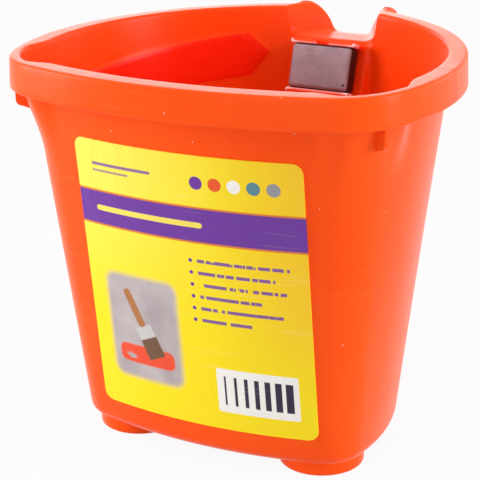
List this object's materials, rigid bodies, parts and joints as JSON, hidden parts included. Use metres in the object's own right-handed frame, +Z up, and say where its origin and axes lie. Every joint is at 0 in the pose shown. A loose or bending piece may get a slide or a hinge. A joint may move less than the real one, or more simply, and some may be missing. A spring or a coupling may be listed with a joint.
{
  "type": "paint kettle",
  "caption": "Hand-held paint kettle: D-shaped tub with a hanging rim, pouring corners, a magnetic brush rest below a rim notch and an open jug handle with a soft grip.",
  "frame": {"origin": "on the floor under the middle of the whole kettle, handle included", "axes": "+Z up; +Y from the label side towards the brush notch and the handle; X across the tub"},
  "size_m": [0.1548, 0.1838, 0.14],
  "materials": {
    "tub_plastic": "satin injection-moulded polypropylene, bright orange-red",
    "grip_rubber": "soft matt charcoal elastomer",
    "magnet_ferrite": "ground sintered ferrite, matt grey with a mauve cast",
    "adhesive_pad": "pale foam adhesive pad",
    "label_film": "printed self-adhesive film, satin yellow"
  },
  "bodies": {
    "root": {"tub": "tub_plastic", "handle_grip": "grip_rubber", "brush_magnet": "magnet_ferrite", "magnet_adhesive": "adhesive_pad", "front_label": "label_film"}
  },
  "joints": []
}
